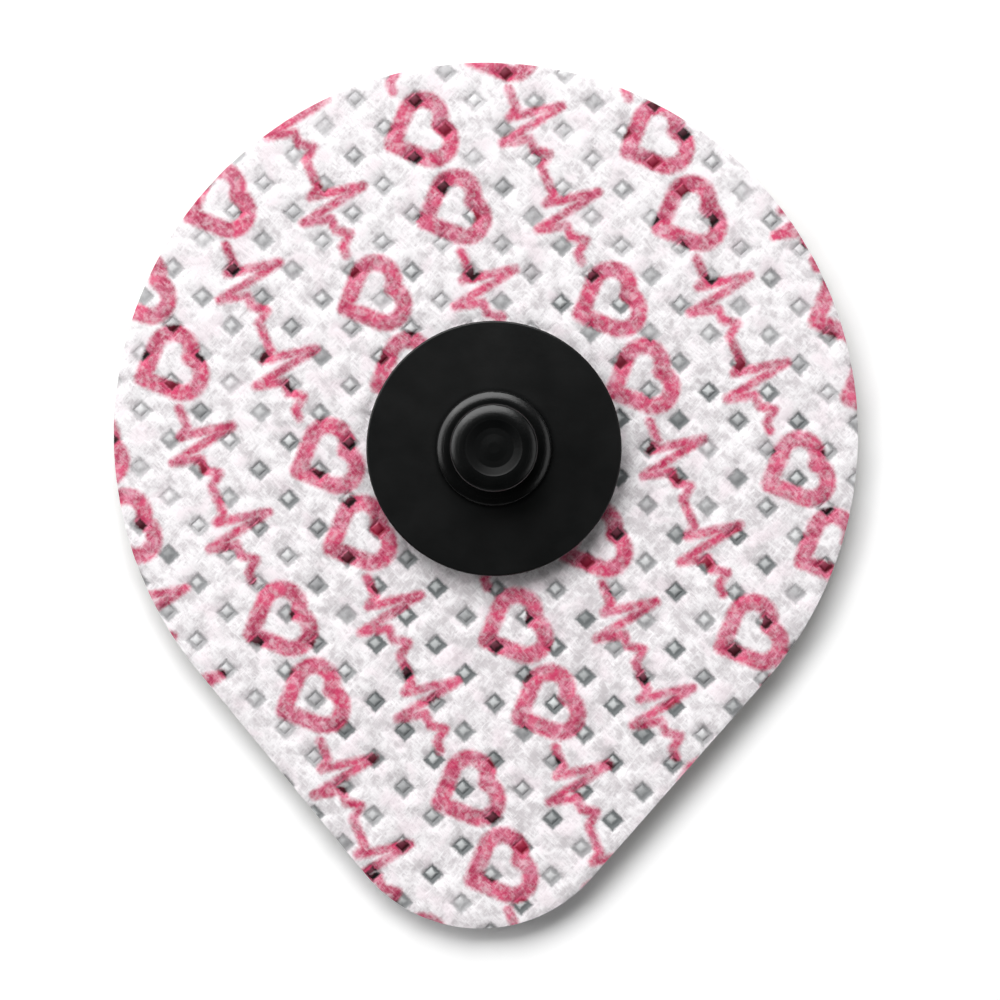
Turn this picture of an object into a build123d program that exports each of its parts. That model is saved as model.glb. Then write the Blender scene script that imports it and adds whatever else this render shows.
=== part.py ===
from build123d import *
from math import ceil, sqrt
import os

# A disposable ECG monitoring electrode, as it lies with its snap upwards. A teardrop of
# embossed nonwoven cloth carries everything. A black snap stud sits on top of it, a coated
# sensor eyelet holds the stud from below, and a pad of sticky gel covers the eyelet.
#
# Millimetres. The origin is on the snap's axis, on the face of the gel that goes on the skin.
# +Z points up out of the snap, and -Y points along the cloth to its lifting tab.

# Backing cloth: the outline is a round body and a smaller round tab, with straight sides
body_radius = 16.7
tab_radius = 6.65
tab_reach = 15.5  # from the body's centre to the tab's centre
body_centre_x = -0.38  # the snap isn't punched quite in the middle of the body
body_centre_y = 0.61
cloth_thickness = 0.40
cap_sink = 0.10  # how far the snap squeezes the cloth under its cap
seat_clearance = 0.05  # round the cap, in the squeezed ring of cloth
punch_clearance = 0.08  # round the eyelet's post, in the cloth's hole

# Bond points: square pits pressed into the cloth's upper face, in staggered rows
pit_mouth = 0.70  # side of the square where the pit opens
pit_floor = 0.54
pit_depth = 0.18
pit_pitch_x = 2.68
pit_pitch_y = 2.57
pit_start_x = -1.13  # where one pit of the first grid lies
pit_start_y = 0.18
pit_margin = 0.12  # least cloth between a pit's corner and an edge

# Gel pad
gel_radius = 9.0
gel_thickness = 0.90
gel_clearance = 0.05  # round the eyelet's flange

# Sensor eyelet: a flange that lies in the gel, and a post that goes up into the stud
flange_radius = 4.6
flange_thickness = 0.40
flange_edge = 0.12  # a chamfer
post_radius = 0.95
post_end_gap = 0.10  # free height above the post in the stud's bore
post_tip = 0.20
ridge_height = 0.08  # the ring on the post that snaps into a groove in the bore
ridge_length = 0.30  # at its foot, with flanks at 45 degrees
ridge_up = 1.55  # middle of the ring, above the seat of the cap

# Snap stud: one moulding, from the cap up
cap_radius = 5.70
cap_rim_thickness = 1.15
cap_thickness = 1.21  # where the cap meets the collar
cap_edge = 0.08
collar_radius = 2.57
collar_height = 0.45
collar_slope_width = 0.33  # the collar's top slopes down to its edge over this width
collar_slope_drop = 0.125
collar_edge = 0.13
neck_radius = 1.70
neck_height = 0.62
neck_root = 0.12  # a chamfer
head_radius = 1.95
head_flare = 0.25
head_band = 0.85  # the straight part that a lead's socket grips
head_crown = 0.30  # height of the shoulder above it
head_slope_width = 0.38
head_slope_drop = 0.145
head_edge = 0.16
dimple_radius = 1.25
dimple_floor_radius = 0.88
dimple_depth = 0.095
gate_foot_radius = 0.60  # the low mound that the moulding gate leaves in the dimple
gate_top_radius = 0.25
gate_height = 0.03
bore_depth = 2.30
bore_lead = 0.12
fit_clearance = 0.015  # between the post and the bore, and between ring and groove

# Levels, from the skin upwards
cloth_bottom = gel_thickness
cloth_top = cloth_bottom + cloth_thickness
flange_bottom = cloth_bottom - flange_thickness
cap_seat = cloth_top - cap_sink
cap_top = cap_seat + cap_thickness
collar_top = cap_top + collar_height
flare_bottom = collar_top + neck_height
band_bottom = flare_bottom + head_flare
band_top = band_bottom + head_band
head_top = band_top + head_crown
dimple_floor = head_top - dimple_depth
bore_top = cap_seat + bore_depth
post_top = bore_top - post_end_gap
ridge_middle = cap_seat + ridge_up
bore_radius = post_radius + fit_clearance


def round_corner(face, corner, radius):
    """Fillets the face's vertex that lies nearest to a place of the section plane."""
    nearest = face.vertices().sort_by_distance((*corner, 0))[0]
    return fillet(nearest, radius)


def turned(section):
    """The solid of revolution of a half section that is drawn with x as radius, y as height."""
    return revolve(Plane.XZ * section, Axis.Z)


def ring_profile(radius, clearance=0.0):
    """The post's snap ring as three steps of a section, downwards, for ring or groove alike."""
    half = ridge_length / 2 + clearance
    crest = radius + ridge_height
    return [
        (radius, ridge_middle + half),
        (crest, ridge_middle + half - ridge_height),
        (crest, ridge_middle - half + ridge_height),
        (radius, ridge_middle - half),
    ]


def teardrop():
    """The die-cut outline: the hull of the body's circle and the tab's circle."""
    body = Circle(body_radius)
    tab = Pos(0, -tab_reach) * Circle(tab_radius)
    outline = make_hull(body.edges() + tab.edges())
    return Pos(body_centre_x, body_centre_y) * outline


def pit_places(outline):
    """The bond points that fit on the cloth, clear of its edge and of the squeezed ring."""
    corner_reach = pit_mouth / sqrt(2) + pit_margin
    taken = cap_radius + seat_clearance + corner_reach
    clear = offset(outline, -corner_reach) - Circle(taken)
    field = clear.faces()[0]
    span = 2 * (body_radius + tab_reach + tab_radius)
    columns = 2 * ceil(span / pit_pitch_x / 2) + 1
    rows = 2 * ceil(span / pit_pitch_y / 2) + 1
    grid = GridLocations(pit_pitch_x, pit_pitch_y, columns, rows)
    half_step = Vector(pit_pitch_x / 2, pit_pitch_y / 2)
    start = Vector(pit_start_x, pit_start_y)
    places = []
    for shift in (start, start + half_step):
        for spot in grid:
            place = spot.position + shift
            if field.is_inside(place):
                places.append(place)
    return places


def bond_pit():
    """One pit as a cutter: a square frustum, corners along X and Y, mouth at height zero."""
    near = (pit_mouth - pit_floor) / 2
    far = pit_mouth - near
    frustum = Wedge(pit_mouth, pit_depth, pit_mouth, near, near, far, far)
    mouth_up = Rot(0, 0, 45) * Rot(-90, 0, 0) * frustum
    return Pos(0, 0, -pit_depth / 2) * mouth_up


def make_backing_cloth():
    """The cloth: a flat teardrop with the post's hole, the cap's squeezed seat and the pits."""
    outline = teardrop()
    hole = Circle(post_radius + punch_clearance)
    cloth = extrude(Pos(0, 0, cloth_bottom) * (outline - hole), cloth_thickness)
    seat = Circle(cap_radius + seat_clearance)
    cloth -= extrude(Pos(0, 0, cap_seat) * seat, cap_sink)
    pit = bond_pit()
    places = pit_places(outline)
    print("bond pits:", len(places))
    return cloth - [Pos(place.X, place.Y, cloth_top) * pit for place in places]


def make_gel_pad():
    """A die-cut disc of gel with a shallow recess that the eyelet's flange fills."""
    pad = extrude(Circle(gel_radius), gel_thickness)
    recess = Pos(0, 0, flange_bottom) * Circle(flange_radius + gel_clearance)
    return pad - extrude(recess, flange_thickness)


def make_sensor_eyelet():
    """A flange and a post with a snap ring and a tapered tip, turned about the axis."""
    section = make_face(
        Polyline(
            (0, flange_bottom),
            (0, post_top),
            (post_radius - post_tip, post_top),
            (post_radius, post_top - post_tip),
            *ring_profile(post_radius),
            (post_radius, cloth_bottom),
            (flange_radius, cloth_bottom),
            (flange_radius, flange_bottom + flange_edge),
            (flange_radius - flange_edge, flange_bottom),
            close=True,
        )
    )
    return turned(section)


def make_snap_stud():
    """The stud: cap, collar, neck and head, with a dimple on top and the post's bore below."""
    head_corner = (head_radius, head_top - head_slope_drop)
    collar_corner = (collar_radius, collar_top - collar_slope_drop)
    cap_corner = (cap_radius, cap_seat + cap_rim_thickness)
    section = make_face(
        Polyline(
            (0, dimple_floor + gate_height),
            (gate_top_radius, dimple_floor + gate_height),
            (gate_foot_radius, dimple_floor),
            (dimple_floor_radius, dimple_floor),
            (dimple_radius, head_top),
            (head_radius - head_slope_width, head_top),
            head_corner,
            (head_radius, band_bottom),
            (neck_radius, flare_bottom),
            (neck_radius, collar_top + neck_root),
            (neck_radius + neck_root, collar_top),
            (collar_radius - collar_slope_width, collar_top),
            collar_corner,
            (collar_radius, cap_top),
            cap_corner,
            (cap_radius, cap_seat),
            (bore_radius + bore_lead, cap_seat),
            (bore_radius, cap_seat + bore_lead),
            *reversed(ring_profile(bore_radius, fit_clearance)),
            (bore_radius, bore_top),
            (0, bore_top),
            close=True,
        )
    )
    section = round_corner(section, head_corner, head_edge)
    section = round_corner(section, collar_corner, collar_edge)
    return turned(round_corner(section, cap_corner, cap_edge))


parts = {
    "backing_cloth": make_backing_cloth(),
    "gel_pad": make_gel_pad(),
    "sensor_eyelet": make_sensor_eyelet(),
    "snap_stud": make_snap_stud(),
}
os.makedirs("parts", exist_ok=True)
for name, shape in parts.items():
    export_step(shape, f"parts/{name}.step")
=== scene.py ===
from math import cos, radians, sin, sqrt, tan

import bpy
import numpy as np
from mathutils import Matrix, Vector


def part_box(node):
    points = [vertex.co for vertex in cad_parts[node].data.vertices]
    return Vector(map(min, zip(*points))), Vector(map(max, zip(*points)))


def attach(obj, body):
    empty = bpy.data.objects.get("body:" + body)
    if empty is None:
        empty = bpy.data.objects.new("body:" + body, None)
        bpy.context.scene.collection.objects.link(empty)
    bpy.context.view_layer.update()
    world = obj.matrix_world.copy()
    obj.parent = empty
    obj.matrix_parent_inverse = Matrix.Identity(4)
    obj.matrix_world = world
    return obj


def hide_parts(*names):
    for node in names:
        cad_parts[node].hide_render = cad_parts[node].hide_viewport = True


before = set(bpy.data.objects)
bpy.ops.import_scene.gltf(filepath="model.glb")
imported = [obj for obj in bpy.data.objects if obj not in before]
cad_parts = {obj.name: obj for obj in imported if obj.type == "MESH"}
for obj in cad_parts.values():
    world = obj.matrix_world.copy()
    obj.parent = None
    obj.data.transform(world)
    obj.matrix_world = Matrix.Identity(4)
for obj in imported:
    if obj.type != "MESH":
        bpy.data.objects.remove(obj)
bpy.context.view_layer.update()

# A teardrop ECG electrode lying on a white table, seen from straight above. Every length is in
# metres, written as so many millimetres. The cloth is worked out here from the box of its plain
# solid. The stud, the eyelet and the gel are the plain solids with finishes of their own.
mm = 0.001

# The cloth's outline, read from its box except for the tab's own radius
cloth_low, cloth_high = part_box("backing_cloth")
gel_low, gel_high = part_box("gel_pad")
stud_low, stud_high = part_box("snap_stud")
body_radius = (cloth_high[0] - cloth_low[0]) / 2
body_x = (cloth_high[0] + cloth_low[0]) / 2
body_y = cloth_high[1] - body_radius
tab_radius = 6.65 * mm
tab_reach = body_y - cloth_low[1] - tab_radius
cap_radius = (stud_high[0] - stud_low[0]) / 2
gel_radius = (gel_high[0] - gel_low[0]) / 2
post_hole = 1.03 * mm

# Bond points: the pitch of the staggered rows and where one of them lies
pitch_x = 2.68 * mm
pitch_y = 2.57 * mm
first_x = -1.13 * mm
first_y = 0.18 * mm

# Their half sizes from the middle outwards, and where the cloth's net has lines, as shares of the
# pitch along the diagonals
crown_half = 0.075
groove_half = 0.12
speck_half = 0.135
film_half = 0.21
mouth_half = 0.24
shoulder_half = 0.36
net_half = (0.05, 0.12, 0.165, 0.22, 0.27, 0.36)

# Their depths, how far the grey film and the painted highlight on the crowns are moved in them, and
# how firmly the roll presses
groove_depth = 0.11 * mm
crown_rise = 0.10 * mm
shoulder_drop = 0.06 * mm
# Painted light: the grey film is moved right and down, painting shade on each pit's lower right
# side; the pale crown is moved up and left
painted_light_shift_right = 0.035 * mm
painted_light_shift_down = 0.055 * mm
least_press = 0.7
# Painted shade: the cloth is greyest at this point below and right of the stud, and whiter away
# from it, as the light falls off
painted_shade_x = 3 * mm
painted_shade_y = -8.5 * mm
painted_shade_peak = 1.38
painted_shade_fade = 0.030 / mm

# How the cloth lies. Each row of small waves is a seed, a wave's length and its height
cap_squeeze = 0.105 * mm
squeeze_reach = 0.55 * mm
edge_crush = 0.09 * mm
edge_reach = 0.16 * mm
lift = 0.10 * mm
lift_reach = 6 * mm
lift_length = 38 * mm
gel_gap = 0.003 * mm
small_waves = ((5, 3.1 * mm, 0.012 * mm), (6, 1.1 * mm, 0.010 * mm))
crease = radians(50)

# Printing, in millimetres: rows that lean with the roll, two hearts and two beats of a pulse in
# each repeat
row_lean = radians(-66)
row_pitch = 4.8
row_repeat = 16.2
row_stagger = 5.9
heart_size = 2.3
heart_step = 3.75
heart_stroke = 0.80
heart_drop = 0.55
trace_stroke = 0.46
ragged_grain = 0.16
ragged_reach = 0.17
ink_fades = (0.12, -0.16)
beats = 2
pulse = (
    (0.0, -0.3), (0.95, -0.3), (1.2, -0.75), (1.65, 1.6), (2.15, -1.5), (2.45, -0.3), (3.0, -0.3),
    (3.4, 0.25), (3.8, -0.3), (4.2, -0.3),
)

# Sizes of the lumps in the cloth's finish, and the headings that its fibres are drawn out along
tuft_size = 0.55 * mm
haze_size = 1.1 * mm
fibre_size, fibre_turn = 0.12 * mm, radians(45)
cross_size, cross_turn = 0.11 * mm, radians(-38)
hair_size, hair_turn = 0.035 * mm, radians(20)
melt_size = 0.16 * mm
wear_size = 0.30 * mm
vivid_size = 0.8 * mm

# The adhesive coat fades out between these two places along the tab
coat_fades = (-17.6 * mm, -17.9 * mm)

# Stud: where its dimple's matt face and its cap's matt face begin, and its two soft corners, each
# by its radius, the width that it is softened over, and its turn
dimple_fades = (1.32 * mm, 1.15 * mm)
cap_fades = (2.50 * mm, 2.80 * mm)
head_corner = (1.57 * mm, 0.24 * mm, radians(20.9))
collar_corner = (2.24 * mm, 0.16 * mm, radians(20.7))

# Table paint: as it lights the part, and as it is seen and reflected
table_reach = 1.5
table_gap = 0.01 * mm
table_plain = (0.7, 0.7, 0.7, 1)
table_seen = (1.06, 1.06, 1.06, 1)

# Camera: the width of the table that it sees, where it aims, and its turn
view_width = 44.84 * mm
aim = (0.308 * mm, -2.295 * mm)
view_turn = radians(0.98)
lens = 150.0
sensor = 36.0


def cut_edge(x, y):
    """Signed distance to the die-cut edge, negative on the cloth, and the way out of the cloth.

    The outline is the hull of two circles, so the nearest point of it lies on the big circle, on
    the small one, or on the tangent between them. Which one depends on how far the place lies
    along the tangent from the big circle's foot of it.
    """
    side = np.where(x < body_x, -1.0, 1.0)
    u = np.abs(x - body_x)
    v = body_y - y
    lean = (body_radius - tab_radius) / tab_reach
    rise = sqrt(1 - lean * lean)
    along = rise * v - lean * u
    from_body = np.hypot(u, v) + 1e-12
    from_tab = np.hypot(u, v - tab_reach) + 1e-12
    zones = [along < 0, along > rise * tab_reach]
    distance = np.select(
        zones, [from_body - body_radius, from_tab - tab_radius], rise * u + lean * v - body_radius
    )
    out_u = np.select(zones, [u / from_body, u / from_tab], rise)
    out_v = np.select(zones, [v / from_body, (v - tab_reach) / from_tab], lean)
    return distance, side * out_u, -out_v


def to_rows(x, y):
    """Places counted along the two diagonals of the bond points, each of which is at integers."""
    along = (x - first_x) / pitch_x
    across = (y - first_y) / pitch_y
    return along + across, along - across


def smooth_step(low, high, value):
    """Zero below low, one above high, and the cubic 3t^2 - 2t^3 between them."""
    t = np.clip((value - low) / (high - low), 0.0, 1.0)
    return t * t * (3 - 2 * t)


def slow_waves(x, y, seed, length, count):
    """A gentle unevenness between about -1 and 1: a sum of sines in seeded directions.

    Each sine is 0.6 to 1.5 times the length from crest to crest.
    """
    rng = np.random.default_rng(seed)
    total = np.zeros_like(x)
    for heading, phase, stretch in rng.random((count, 3)):
        reach = length * (0.6 + 0.9 * stretch)
        turn = 2 * np.pi * heading
        way = np.cos(turn) * x + np.sin(turn) * y
        total += np.sin(2 * np.pi * (way / reach + phase))
    return total / sqrt(count)


def cloth_net():
    """Corner places and triangles of a net that covers the cloth, with its hole.

    The net's lines run along both diagonals of the bond points and lie closer at each pit's
    edges. Cells whose middle is on the cloth are kept. Corners on the rim of what is kept then
    slide straight out or in to the cut edge or the hole's edge, and a triangle with all three
    corners on the rim is left out.
    """
    reach = int(body_radius * 2 / pitch_x + body_radius * 3 / pitch_y)
    half = np.array(net_half)
    within = np.concatenate([[-0.5], -half[::-1], half])
    lines = (np.arange(-reach, reach + 1)[:, None] + within).ravel()
    s, t = np.meshgrid(lines, lines, indexing="ij")
    x = first_x + pitch_x * (s + t) / 2
    y = first_y + pitch_y * (s - t) / 2
    distance, out_x, out_y = cut_edge(x, y)
    distance = np.maximum(distance, post_hole - np.hypot(x, y))
    middle = (distance[:-1, :-1] + distance[1:, :-1] + distance[:-1, 1:] + distance[1:, 1:]) / 4
    i, j = np.nonzero(middle < 0)
    rows = len(lines)
    a, b, c, d = i * rows + j, (i + 1) * rows + j, (i + 1) * rows + j + 1, i * rows + j + 1
    mid_s = (s[i, j] + s[i + 1, j + 1]) / 2
    mid_t = (t[i, j] + t[i + 1, j + 1]) / 2
    outward = (mid_s - np.round(mid_s)) * (mid_t - np.round(mid_t)) > 0
    first = np.where(outward[:, None], np.stack([a, c, b], 1), np.stack([a, d, b], 1))
    second = np.where(outward[:, None], np.stack([a, d, c], 1), np.stack([b, d, c], 1))
    triangles = np.concatenate([first, second])

    rim = np.zeros(x.size, bool)
    rim[rim_edges(triangles).ravel()] = True
    x, y = x.ravel().copy(), y.ravel().copy()
    distance, out_x, out_y = cut_edge(x, y)
    radius = np.hypot(x, y)
    at_hole = rim & (radius < cap_radius)
    at_edge = rim & ~at_hole
    x = np.where(at_edge, x - distance * out_x, x)
    y = np.where(at_edge, y - distance * out_y, y)
    x = np.where(at_hole, x * post_hole / np.maximum(radius, 1e-9), x)
    y = np.where(at_hole, y * post_hole / np.maximum(radius, 1e-9), y)
    triangles = triangles[~rim[triangles].all(axis=1)]

    used, triangles = np.unique(triangles, return_inverse=True)
    return x[used], y[used], triangles.reshape(-1, 3)


def rim_edges(triangles):
    """The directed edges that only one triangle has."""
    edges = np.concatenate([triangles[:, [0, 1]], triangles[:, [1, 2]], triangles[:, [2, 0]]])
    pairs = np.sort(edges, axis=1)
    _, place, counts = np.unique(pairs, axis=0, return_inverse=True, return_counts=True)
    return edges[counts[place.ravel()] == 1]


def press_of_pits(s, t):
    """How firmly the bond point nearest to each place is pressed: one seeded draw for each."""
    span = 64
    draws = np.random.default_rng(23).random((span, span))
    i = np.round(s).astype(int) % span
    j = np.round(t).astype(int) % span
    return least_press + (1 - least_press) * draws[i, j]


def cloth_levels(x, y):
    """Heights of the cloth's upper and lower face at each corner of the net.

    Upper face: the cloth's level, less a square groove round each bond point with a low crown
    inside it, less a soft shoulder outside it, less the ring that the cap squeezes and the thin
    line that the die crushes along the edge, plus slow waves. What counts as far out in a bond
    point is the larger of its two diagonal distances.
    Lower face: flat on the gel, and outside it a slight lift and fall.
    """
    s, t = to_rows(x, y)
    out = np.maximum(np.abs(s - np.round(s)), np.abs(t - np.round(t)))
    radius = np.hypot(x, y)
    inward = -cut_edge(x, y)[0]
    free = smooth_step(gel_radius, gel_radius + lift_reach, radius)
    sway = lift * free * slow_waves(x, y, 11, lift_length, 4)
    under = cloth_low[2] + gel_gap + sway
    upper = cloth_high[2] + sway
    for seed, length, height in small_waves:
        upper = upper + height * slow_waves(x, y, seed, length, 9)
    pit = groove_depth * (1 - smooth_step(groove_half, mouth_half, out))
    pit -= crown_rise * (1 - smooth_step(crown_half / 2, groove_half, out))
    pit += shoulder_drop * (1 - smooth_step(mouth_half, shoulder_half, out))
    upper -= press_of_pits(s, t) * pit
    upper -= edge_crush * np.exp(-inward / edge_reach)
    squeezed = 1 - smooth_step(cap_radius, cap_radius + squeeze_reach, radius)
    seat = cloth_high[2] - cap_squeeze
    upper = np.where(radius < cap_radius, np.minimum(upper, seat), upper)
    upper -= np.where(radius < cap_radius, 0, cap_squeeze * squeezed)
    return upper, under


def make_cloth():
    """The cloth as one closed shell: upper net, the same net turned over below, and a rim wall."""
    x, y, triangles = cloth_net()
    upper, under = cloth_levels(x, y)
    count = len(x)
    corners = np.concatenate([np.stack([x, y, upper], 1), np.stack([x, y, under], 1)])
    start, end = rim_edges(triangles).T
    wall = np.concatenate(
        [
            np.stack([start, start + count, end + count], 1),
            np.stack([start, end + count, end], 1),
        ]
    )
    below = triangles[:, ::-1] + count
    faces = np.concatenate([triangles, wall, below])
    mesh = bpy.data.meshes.new("cloth")
    mesh.from_pydata(corners.tolist(), [], faces.tolist())
    finish = np.zeros(len(faces), np.int32)
    finish[len(triangles) + len(wall):] = 1
    mesh.polygons.foreach_set("material_index", finish)
    mesh.materials.append(cloth_finish())
    mesh.materials.append(adhesive_finish())
    mesh.shade_smooth()
    mesh.set_sharp_from_angle(angle=crease)
    piece = bpy.data.objects.new("cloth", mesh)
    bpy.context.scene.collection.objects.link(piece)
    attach(piece, "root")
    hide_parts("backing_cloth")


class Signal:
    """A value inside a material, with sums that add the Math nodes they need."""

    def __init__(self, tree, socket):
        self.tree = tree
        self.socket = socket

    def math(self, operation, *others, clamp=False):
        node = self.tree.nodes.new("ShaderNodeMath")
        node.operation = operation
        node.use_clamp = clamp
        for socket, value in zip(node.inputs, (self, *others)):
            plug(self.tree, value, socket)
        return Signal(self.tree, node.outputs[0])

    def __add__(self, other):
        return self.math("ADD", other)

    def __sub__(self, other):
        return self.math("SUBTRACT", other)

    def __mul__(self, other):
        return self.math("MULTIPLY", other)

    def __truediv__(self, other):
        return self.math("DIVIDE", other)

    def minus_from(self, value):
        """The value less this signal."""
        return (self * -1.0) + value

    def size(self):
        """This signal without its sign."""
        return self.math("ABSOLUTE")

    def between(self, low, high):
        """Zero at low, one at high, smooth between them, and flat outside."""
        node = self.tree.nodes.new("ShaderNodeMapRange")
        node.interpolation_type = "SMOOTHSTEP"
        plug(self.tree, self, node.inputs["Value"])
        node.inputs["From Min"].default_value = low
        node.inputs["From Max"].default_value = high
        return Signal(self.tree, node.outputs["Result"])


def plug(tree, value, socket):
    """Wires a signal into a socket, or sets the socket to a plain value."""
    if isinstance(value, Signal):
        tree.links.new(value.socket, socket)
    else:
        socket.default_value = value


def new_material(name, **plain):
    """A Principled material with plain values on its own sockets."""
    material = bpy.data.materials.new(name)
    material.use_nodes = True
    shader = material.node_tree.nodes["Principled BSDF"]
    for words, value in plain.items():
        shader.inputs[words.replace("_", " ")].default_value = value
    return material, material.node_tree, shader


def places(tree):
    """The surface's own place on the part, as a vector."""
    return Signal(tree, tree.nodes.new("ShaderNodeTexCoord").outputs["Object"])


def turned_rows(tree, vector):
    """The place in millimetres, turned so that its first axis runs along the printed rows."""
    node = tree.nodes.new("ShaderNodeMapping")
    plug(tree, vector, node.inputs["Vector"])
    node.inputs["Rotation"].default_value = (0, 0, -row_lean)
    node.inputs["Scale"].default_value = (1 / mm, 1 / mm, 1 / mm)
    return Signal(tree, node.outputs["Vector"])


def streaked(tree, vector, turn, stretch):
    """The place squeezed along one heading, so that a pattern on it is drawn out that way."""
    node = tree.nodes.new("ShaderNodeMapping")
    node.vector_type = "TEXTURE"
    plug(tree, vector, node.inputs["Vector"])
    node.inputs["Rotation"].default_value = (0, 0, turn)
    node.inputs["Scale"].default_value = (1, stretch, stretch)
    return Signal(tree, node.outputs["Vector"])


def noise(tree, vector, grain, detail=2.0, roughness=0.5, distortion=0.0):
    """Cloudy noise from 0 to 1 with lumps about as large as grain, in metres."""
    node = tree.nodes.new("ShaderNodeTexNoise")
    plug(tree, vector, node.inputs["Vector"])
    node.inputs["Scale"].default_value = 1 / grain
    node.inputs["Detail"].default_value = detail
    node.inputs["Roughness"].default_value = roughness
    node.inputs["Distortion"].default_value = distortion
    return Signal(tree, node.outputs["Fac"])


def split(tree, vector):
    """The first two parts of a vector, such as its x and y."""
    node = tree.nodes.new("ShaderNodeSeparateXYZ")
    plug(tree, vector, node.inputs["Vector"])
    return Signal(tree, node.outputs["X"]), Signal(tree, node.outputs["Y"])


def join(tree, x, y):
    """A vector of x, y and zero."""
    node = tree.nodes.new("ShaderNodeCombineXYZ")
    plug(tree, x, node.inputs["X"])
    plug(tree, y, node.inputs["Y"])
    return Signal(tree, node.outputs["Vector"])


def vector_math(tree, operation, one, other, output="Vector"):
    """A sum on one or two vectors, or a vector scaled by a value."""
    node = tree.nodes.new("ShaderNodeVectorMath")
    node.operation = operation
    plug(tree, one, node.inputs[0])
    if operation == "SCALE":
        plug(tree, other, node.inputs["Scale"])
    elif other is not None:
        plug(tree, other, node.inputs[1])
    return Signal(tree, node.outputs[output])


def length_of(tree, vector):
    """The length of a vector."""
    return vector_math(tree, "LENGTH", vector, None, "Value")


def mix_colour(tree, share, one, other):
    """One colour where the share is 0, the other where it is 1."""
    node = tree.nodes.new("ShaderNodeMix")
    node.data_type = "RGBA"
    plug(tree, share, node.inputs["Factor"])
    plug(tree, one, node.inputs["A"])
    plug(tree, other, node.inputs["B"])
    return Signal(tree, node.outputs["Result"])


def add_bump(tree, shader, height, distance, strength=1.0):
    """Shades the surface by a height, of which one unit stands for the distance."""
    node = tree.nodes.new("ShaderNodeBump")
    node.inputs["Strength"].default_value = strength
    node.inputs["Distance"].default_value = distance
    plug(tree, height, node.inputs["Height"])
    tree.links.new(node.outputs["Normal"], shader.inputs["Normal"])


def colour(red, green, blue):
    """A colour written as it looks on a screen, 0 to 255, as the linear value a shader takes."""
    parts = [value / 255 for value in (red, green, blue)]
    linear = [part / 12.92 if part < 0.04045 else ((part + 0.055) / 1.055) ** 2.4 for part in parts]
    return (*linear, 1.0)


def segment_distance(tree, place, start, end):
    """Distance from a place to the straight stroke between two points."""
    way = Vector(end) - Vector(start)
    apart = vector_math(tree, "SUBTRACT", place, (*start, 0))
    share = vector_math(tree, "DOT_PRODUCT", apart, (*(way / way.length_squared), 0), "Value")
    share = share.math("ADD", 0.0, clamp=True)
    along = vector_math(tree, "SCALE", (*way, 0), share)
    return length_of(tree, vector_math(tree, "SUBTRACT", apart, along))


def folded(run, length, count):
    """A run along the row laid back onto the first of so many equal lengths."""
    inside = run.math("MINIMUM", length * count - 1e-3).math("MAXIMUM", 0.0)
    return inside.math("MODULO", length) + (run - inside)


def pulse_distance(tree, u, v):
    """Distance to a trace of some beats that starts at u = 0."""
    place = join(tree, folded(u, pulse[-1][0], beats), v)
    nearest = None
    for one, two in zip(pulse, pulse[1:]):
        distance = segment_distance(tree, place, one, two)
        nearest = distance if nearest is None else nearest.math("MINIMUM", distance)
    return nearest


def heart_distance(tree, u, v):
    """Distance to a heart's outline whose tip is at (0, 0) and whose lobes reach up to v = 1.1.

    Past the line u + v = 1 it is the distance to the lobe's circle. Below it, it is the distance
    to the notch or to the straight flank, whichever is nearer.
    """
    across = u.size()
    total = across + v
    lobe = join(tree, across - 0.25, v - 0.75)
    lobe = (length_of(tree, lobe) - sqrt(2) / 4).size()
    notch = length_of(tree, join(tree, across, v - 1.0))
    foot = total.math("MAXIMUM", 0.0) * 0.5
    flank = length_of(tree, join(tree, across - foot, v - foot))
    lower = notch.math("MINIMUM", flank)
    above = total.math("GREATER_THAN", 1.0)
    return above * lobe + above.minus_from(1.0) * lower


def printed_rows(tree, place):
    """How inked a place is, 0 to 1: slanted rows of two hearts and a pulse trace by turns."""
    ragged = tree.nodes.new("ShaderNodeTexNoise")
    plug(tree, place, ragged.inputs["Vector"])
    ragged.inputs["Scale"].default_value = 1 / (ragged_grain * mm)
    ragged.inputs["Detail"].default_value = 2.0
    shift = vector_math(tree, "SUBTRACT", Signal(tree, ragged.outputs["Color"]), (0.5, 0.5, 0.5))
    shift = vector_math(tree, "SCALE", shift, ragged_reach)
    u, v = split(tree, vector_math(tree, "ADD", turned_rows(tree, place), shift))
    row = (v / row_pitch).math("FLOOR")
    v = v - (row + 0.5) * row_pitch
    u = (u + row * row_stagger).math("FLOORED_MODULO", row_repeat)
    heart_u = (folded(u, heart_step, 2) - heart_step / 2) / heart_size
    heart_v = (v + heart_size * heart_drop) / heart_size
    heart = heart_distance(tree, heart_u, heart_v) * heart_size - heart_stroke / 2
    trace = pulse_distance(tree, u - 2 * heart_step, v) - trace_stroke / 2
    return heart.math("MINIMUM", trace).between(*ink_fades)


def pit_signals(tree, place, right=0.0, down=0.0):
    """How far out in its bond point a place lies, and two random numbers for each.

    The middle that it is measured from can be moved right and down, towards the tab.
    """
    x, y = split(tree, place)
    along = (x - first_x - right) / pitch_x
    across = (y - first_y + down) / pitch_y
    diagonals = (along + across, along - across)
    middles = [(line + 0.5).math("FLOOR") for line in diagonals]
    shares = [(line - middle).size() for line, middle in zip(diagonals, middles)]
    draw = tree.nodes.new("ShaderNodeTexWhiteNoise")
    draw.noise_dimensions = "2D"
    plug(tree, join(tree, *middles), draw.inputs["Vector"])
    other = split(tree, Signal(tree, draw.outputs["Color"]))[1]
    return shares[0].math("MAXIMUM", shares[1]), Signal(tree, draw.outputs["Value"]), other


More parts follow.
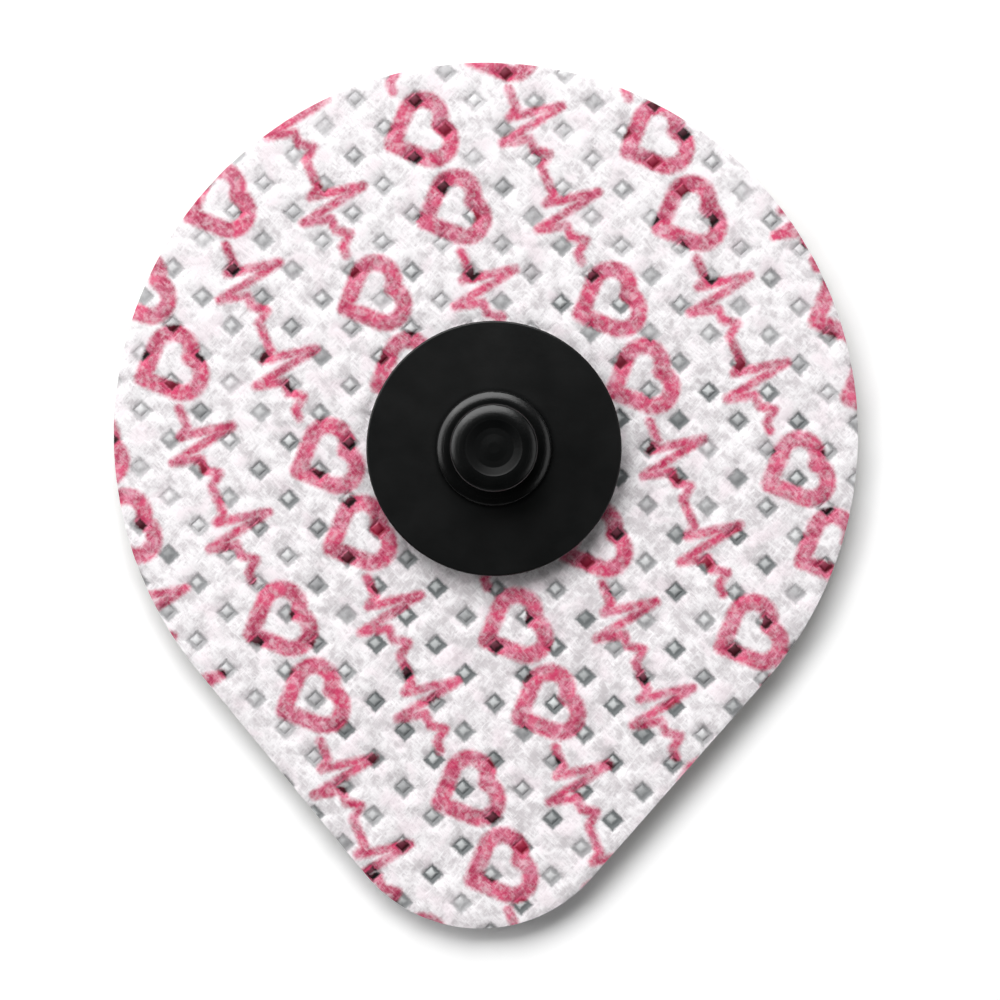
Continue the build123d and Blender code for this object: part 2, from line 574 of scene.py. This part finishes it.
def cloth_finish():
    """Bonded nonwoven: matted white fibres, grey pits where they are melted to film, and ink.

    Painted shade greys it most between the stud and the tab, a little to the right, and less
    further away: there the film is greyest and the fibres are least white. The ink has soaked in
    unevenly, it lies denser on the film, and in the middle of some bond points it is nearly black.
    """
    material, tree, shader = new_material("embossed nonwoven", Specular_IOR_Level=0.25)
    place = places(tree)
    x, y = split(tree, place)
    # Painted shade: greyer film and less white fibres near a point below and right of the stud, as
    # the light falls off
    away = length_of(tree, join(tree, x - painted_shade_x, y - painted_shade_y))
    painted_shade = away * -painted_shade_fade + painted_shade_peak
    clouds = noise(tree, place, tuft_size, 3.0, 0.6)
    fibres = noise(tree, streaked(tree, place, fibre_turn, 5), fibre_size, 3.0, 0.6, 0.5)
    crossing = noise(tree, streaked(tree, place, cross_turn, 5), cross_size, 3.0, 0.6, 0.5)
    fibres = fibres.math("MAXIMUM", crossing)
    matted = (fibres * 0.55 + clouds * 0.70 - painted_shade * 0.12).between(0.35, 0.66)
    white = mix_colour(tree, matted, colour(208, 202, 205), colour(252, 249, 251))
    haze = noise(tree, place, haze_size, 2.0).between(0.48, 0.72)
    white = mix_colour(tree, haze * 0.4, white, colour(242, 222, 230))

    # The film is moved right and down, so that its grey paints shade on each pit's lower right side
    out, draw, other = pit_signals(tree, place, painted_light_shift_right, painted_light_shift_down)
    rough_edge = (noise(tree, place, melt_size, 2.0) - 0.5) * 0.07
    film = (out + rough_edge).between(film_half + 0.025, groove_half + 0.02)
    # Painted highlight: a pale patch on each pit's crown, moved up and left, towards the light
    crown = pit_signals(tree, place, -painted_light_shift_right, -painted_light_shift_down / 2)[0] + rough_edge
    painted_crown_highlight = crown.between(crown_half + 0.05, crown_half - 0.03) * (other * 0.85 + 0.1)
    grey = mix_colour(tree, painted_crown_highlight, colour(106, 110, 111), colour(218, 221, 221))
    share = film * (draw * 0.5 + 0.55) * painted_shade
    cloth = mix_colour(tree, share, white, grey)

    ink = printed_rows(tree, place)
    patchy = noise(tree, place, wear_size, 3.0, 0.65).between(0.30, 0.60)
    density = ink * (patchy * 0.36 + film * 0.36 + 0.64)
    soaked = (fibres * 0.6 + clouds * 0.5).between(0.42, 0.78)
    pink = mix_colour(tree, soaked, colour(174, 40, 80), colour(226, 142, 166))
    vivid = noise(tree, place, vivid_size, 1.0).between(0.48, 0.66)
    pink = mix_colour(tree, vivid * 0.5, pink, colour(224, 66, 112))
    speck = (out + rough_edge).between(speck_half + 0.035, speck_half - 0.035)
    crimson = mix_colour(tree, draw * draw * draw, colour(6, 0, 2), colour(150, 18, 52))
    # The painted highlight also lightens the dark speck on the crown
    crimson = mix_colour(tree, painted_crown_highlight * 0.25, crimson, colour(204, 96, 126))
    pink = mix_colour(tree, speck, pink, crimson)
    tree.links.new(mix_colour(tree, density, cloth, pink).socket, shader.inputs["Base Color"])
    tree.links.new((film * -0.3 + 0.85).socket, shader.inputs["Roughness"])
    hairs = noise(tree, streaked(tree, place, hair_turn, 4), hair_size, 2.0, 0.6, 0.4)
    relief = (fibres + hairs * 0.4) * film.minus_from(1.0)
    add_bump(tree, shader, relief + clouds * 0.4, 0.05 * mm, 0.8)
    return material


def adhesive_finish():
    """The cloth's lower face: bond points under a clear tacky coat that ends short of the tip."""
    material, tree, shader = new_material("adhesive coat", Specular_IOR_Level=0.5)
    place = places(tree)
    bare = split(tree, place)[1].between(*coat_fades)
    clouds = noise(tree, place, 0.6 * mm, 4.0, 0.6)
    coat = mix_colour(tree, clouds.between(0.3, 0.7), colour(222, 217, 206), colour(236, 232, 222))
    cloth = mix_colour(tree, clouds.between(0.3, 0.7), colour(228, 226, 227), colour(240, 238, 239))
    out, draw, _ = pit_signals(tree, place)
    film = out.between(film_half + 0.06, groove_half) * (draw * 0.3 + 0.25)
    face = mix_colour(tree, film, mix_colour(tree, bare, coat, cloth), colour(172, 174, 172))
    tree.links.new(face.socket, shader.inputs["Base Color"])
    tree.links.new((bare * 0.55 + 0.28).socket, shader.inputs["Roughness"])
    add_bump(tree, shader, noise(tree, place, 0.22 * mm, 3.0, 0.6), 0.03 * mm, 0.6)
    return material


def soft_corner(radius, corner, width, turn):
    """Height, in millimetres, that shades a turned corner as if it were rounded.

    It is a shallow groove along the corner whose two sides each lean by half the corner's turn
    where they meet, and level out as a parabola over the width on either side.
    """
    near = (radius - corner).size() / width
    fall = near.math("MINIMUM", 1.0).minus_from(1.0)
    return fall * fall * (-tan(turn / 2) * width / 2 / mm)


def carbon_plastic():
    """Black carbon filled plastic: matt on the cap and in the dimple, burnished on the stud."""
    material, tree, shader = new_material("carbon plastic")
    place = places(tree)
    grain = noise(tree, place, 0.10 * mm, 3.0, 0.6)
    cloud = noise(tree, place, 1.6 * mm, 2.0, 0.5)
    base = mix_colour(tree, cloud.between(0.3, 0.7), colour(4, 5, 5), colour(8, 9, 9))
    tree.links.new(base.socket, shader.inputs["Base Color"])
    x, y = split(tree, place)
    radius = length_of(tree, join(tree, x, y))
    matt = radius.between(*cap_fades)
    dull = radius.between(*dimple_fades)
    roughness = cloud * 0.08 + grain * 0.08 + matt * 0.09 + dull * 0.16 + 0.17
    tree.links.new(roughness.socket, shader.inputs["Roughness"])
    tree.links.new((dull * -0.25 + 0.38).socket, shader.inputs["Specular IOR Level"])
    corners = soft_corner(radius, *head_corner), soft_corner(radius, *collar_corner)
    add_bump(tree, shader, grain * 0.003 + corners[0] + corners[1], mm)
    return material


def silver_coat():
    """Satin grey silver chloride on the eyelet."""
    material, tree, shader = new_material("silver chloride coat", Specular_IOR_Level=0.4)
    place = places(tree)
    cloud = noise(tree, place, 0.5 * mm, 4.0, 0.6)
    base = mix_colour(tree, cloud.between(0.3, 0.7), colour(128, 126, 122), colour(158, 156, 151))
    tree.links.new(base.socket, shader.inputs["Base Color"])
    tree.links.new((cloud * 0.2 + 0.45).socket, shader.inputs["Roughness"])
    add_bump(tree, shader, noise(tree, place, 0.08 * mm, 3.0), 0.008 * mm, 0.5)
    return material


def solid_gel():
    """Clear, slightly milky gel with a wet face."""
    material, tree, shader = new_material(
        "solid gel", IOR=1.38, Transmission_Weight=0.6, Specular_IOR_Level=0.5
    )
    place = places(tree)
    cloud = noise(tree, place, 1.2 * mm, 3.0)
    base = mix_colour(tree, cloud.between(0.3, 0.7), colour(234, 240, 237), colour(246, 249, 246))
    tree.links.new(base.socket, shader.inputs["Base Color"])
    tree.links.new((cloud * 0.12 + 0.10).socket, shader.inputs["Roughness"])
    add_bump(tree, shader, cloud, 0.02 * mm, 0.4)
    return material


def dress(node, material):
    """Gives a plain solid its finish."""
    mesh = bpy.data.objects[node].data
    mesh.materials.clear()
    mesh.materials.append(material)


def make_floor():
    """A white table. To the camera and in reflections it is brighter, so its lit part is white."""
    mesh = bpy.data.meshes.new("table")
    level = gel_low[2] - table_gap
    signs = [(-1, -1), (1, -1), (1, 1), (-1, 1)]
    square = [(table_reach * one, table_reach * other, level) for one, other in signs]
    mesh.from_pydata(square, [], [(0, 1, 2, 3)])
    material = bpy.data.materials.new("white table")
    material.use_nodes = True
    tree = material.node_tree
    tree.nodes.clear()
    path = tree.nodes.new("ShaderNodeLightPath")
    seen = Signal(tree, path.outputs["Is Camera Ray"])
    seen = seen.math("MAXIMUM", Signal(tree, path.outputs["Is Glossy Ray"]))
    seen = seen.math("MAXIMUM", Signal(tree, path.outputs["Is Transmission Ray"]))
    matt = tree.nodes.new("ShaderNodeBsdfDiffuse")
    paint = mix_colour(tree, seen, table_plain, table_seen)
    tree.links.new(paint.socket, matt.inputs["Color"])
    output = tree.nodes.new("ShaderNodeOutputMaterial")
    tree.links.new(matt.outputs["BSDF"], output.inputs["Surface"])
    mesh.materials.append(material)
    floor = bpy.data.objects.new("table", mesh)
    bpy.context.scene.collection.objects.link(floor)


def softbox(name, azimuth, elevation, distance, size, power, target):
    """A soft light of some width and height; azimuth 0 is beyond the round end, clockwise."""
    lamp = bpy.data.lights.new(name, "AREA")
    lamp.shape = "RECTANGLE"
    lamp.size, lamp.size_y = size
    lamp.energy = power
    box = bpy.data.objects.new(name, lamp)
    turn, rise = radians(azimuth), radians(elevation)
    away = Vector((sin(turn) * cos(rise), cos(turn) * cos(rise), sin(rise)))
    box.location = target + distance * away
    box.rotation_euler = away.to_track_quat("Z", "Y").to_euler()
    bpy.context.scene.collection.objects.link(box)


def make_lights():
    """Broad soft lights beyond the round end and at the left, a card at the right, a dim room."""
    middle = Vector((body_x, body_y - 3 * mm, 0))
    softbox("far soft light", -14, 47, 0.64, (0.56, 0.40), 4.36, middle)
    softbox("left soft light", -72, 42, 0.64, (0.48, 0.26), 1.60, middle)
    softbox("right card", 90, 47, 0.90, (0.88, 0.20), 1.00, middle)
    for side in (10, 100, 190, 280):
        softbox(f"low side {side}", side, 25, 1.20, (1.00, 0.40), 0.68, middle)
    world = bpy.data.worlds.new("studio")
    world.use_nodes = True
    tree = world.node_tree
    back = tree.nodes["Background"]
    path = tree.nodes.new("ShaderNodeLightPath")
    shade = mix_colour(
        tree, Signal(tree, path.outputs["Is Camera Ray"]), (0.02, 0.02, 0.02, 1), (1, 1, 1, 1)
    )
    tree.links.new(shade.socket, back.inputs["Color"])
    bpy.context.scene.world = world


def make_camera():
    """Straight above, turned a degree so that the tab leans left."""
    camera = bpy.data.cameras.new("camera")
    camera.lens = lens
    camera.sensor_width = sensor
    camera.clip_start = 0.01
    holder = bpy.data.objects.new("camera", camera)
    holder.location = (*aim, cloth_high[2] + view_width * lens / sensor)
    holder.rotation_euler = (0, 0, view_turn)
    bpy.context.scene.collection.objects.link(holder)
    bpy.context.scene.camera = holder


make_cloth()
dress("snap_stud", carbon_plastic())
dress("sensor_eyelet", silver_coat())
dress("gel_pad", solid_gel())
make_floor()
make_lights()
make_camera()
bpy.context.scene.view_settings.view_transform = "Standard"
